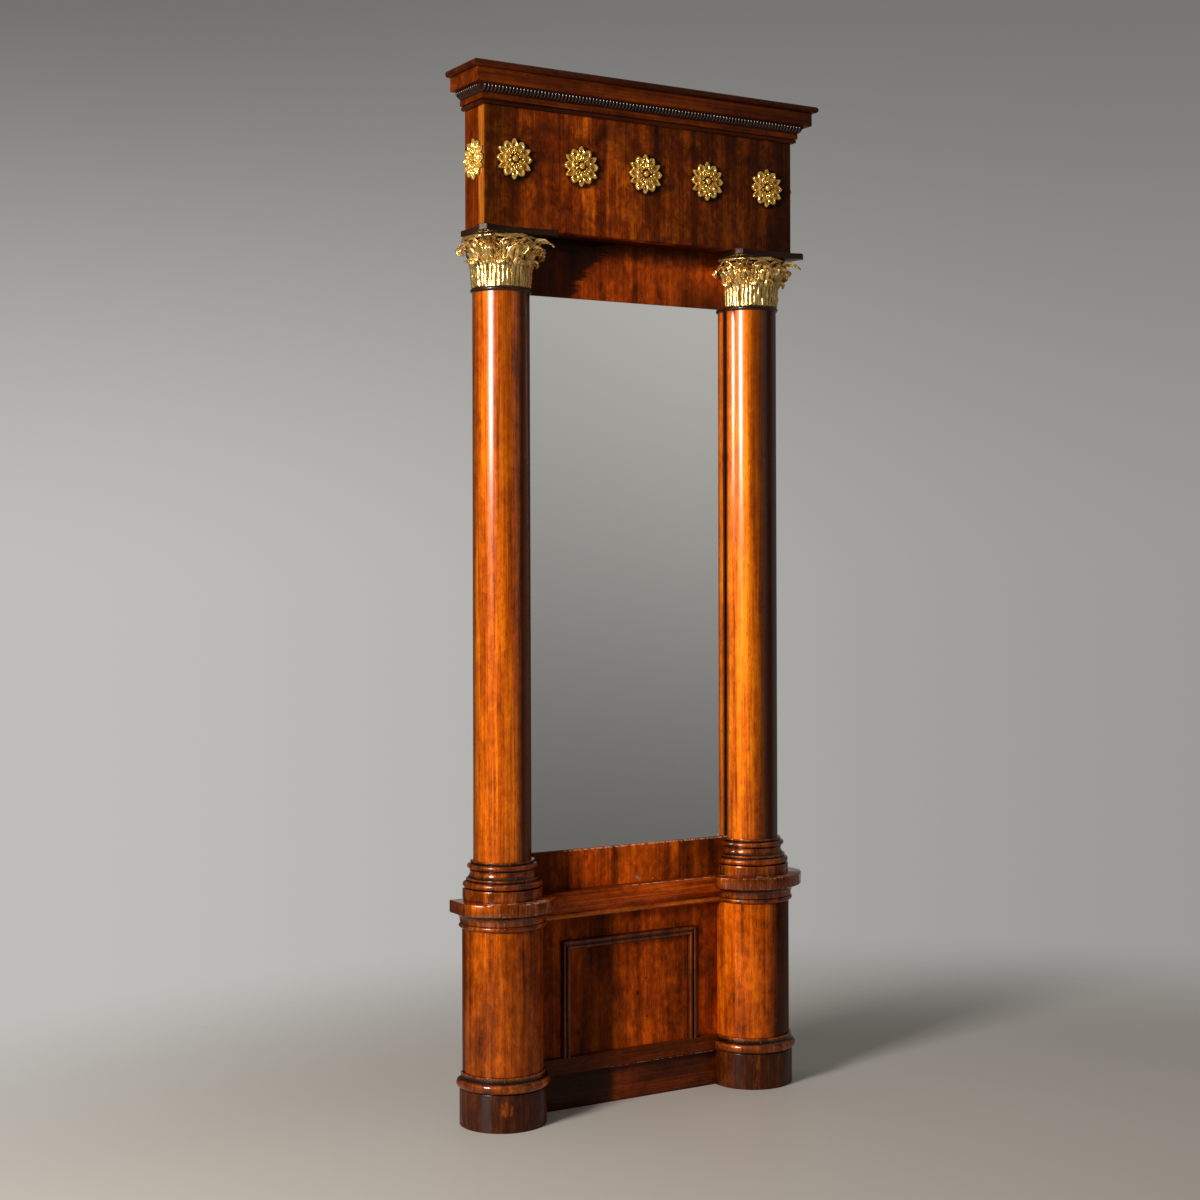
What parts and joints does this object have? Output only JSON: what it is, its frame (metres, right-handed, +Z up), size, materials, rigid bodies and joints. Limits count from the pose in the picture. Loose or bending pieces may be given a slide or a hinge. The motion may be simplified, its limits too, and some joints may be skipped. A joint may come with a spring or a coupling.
{
  "type": "pier mirror",
  "caption": "Tall wall mirror between two round columns with gilt leaf capitals, on drum pedestals joined by a panelled plinth, under a frieze with rosettes and a moulded cornice.",
  "frame": {"origin": "on the floor, in the middle of the width and of the depth", "axes": "+X to the right of a person who looks into the mirror, +Y towards the wall behind, +Z up"},
  "size_m": [0.91, 0.141, 2.3],
  "materials": {
    "mahogany": "french polished veneer",
    "black_wood": "black stained and polished",
    "gilding": "gilt, dark in the hollows",
    "mirror_plate": "silvered glass",
    "softwood": "raw sawn softwood",
    "iron": "blackened"
  },
  "bodies": {
    "root": {"foot_left": "mahogany", "foot_right": "mahogany", "foot_ring_left": "mahogany", "foot_ring_right": "mahogany", "pedestal_left": "mahogany", "pedestal_right": "mahogany", "pedestal_bead_left": "mahogany", "pedestal_bead_right": "mahogany", "cap_left": "mahogany", "cap_right": "mahogany", "column_base_left": "mahogany", "column_base_right": "mahogany", "shaft_left": "mahogany", "shaft_right": "mahogany", "necking_left": "black_wood", "necking_right": "black_wood", "capital_left": "gilding", "capital_right": "gilding", "abacus_left": "black_wood", "abacus_right": "black_wood", "base_board": "mahogany", "base_strip": "mahogany", "dado_board": "mahogany", "panel_mould_left": "mahogany", "panel_mould_right": "mahogany", "panel_mould_top": "mahogany", "ledge_bead": "mahogany", "ledge_board": "mahogany", "bottom_rail": "mahogany", "top_rail": "mahogany", "stile_left": "softwood", "stile_right": "softwood", "mirror_glass": "mirror_plate", "back_boards": "softwood", "glass_blocks": "softwood", "frieze_front": "mahogany", "frieze_left": "mahogany", "frieze_right": "mahogany", "frieze_soffit": "mahogany", "frieze_back": "softwood", "glue_blocks": "softwood", "rosettes": "gilding", "cornice_foot_front": "black_wood", "cornice_foot_left": "black_wood", "cornice_foot_right": "black_wood", "cornice_fascia_front": "mahogany", "cornice_fascia_left": "mahogany", "cornice_fascia_right": "mahogany", "cornice_reeds_front": "black_wood", "cornice_reeds_left": "black_wood", "cornice_reeds_right": "black_wood", "corona_front": "mahogany", "corona_left": "mahogany", "corona_right": "mahogany", "top_slab": "black_wood", "dowels": "softwood", "hanging_plates": "iron", "plate_screws": "iron"}
  },
  "joints": []
}
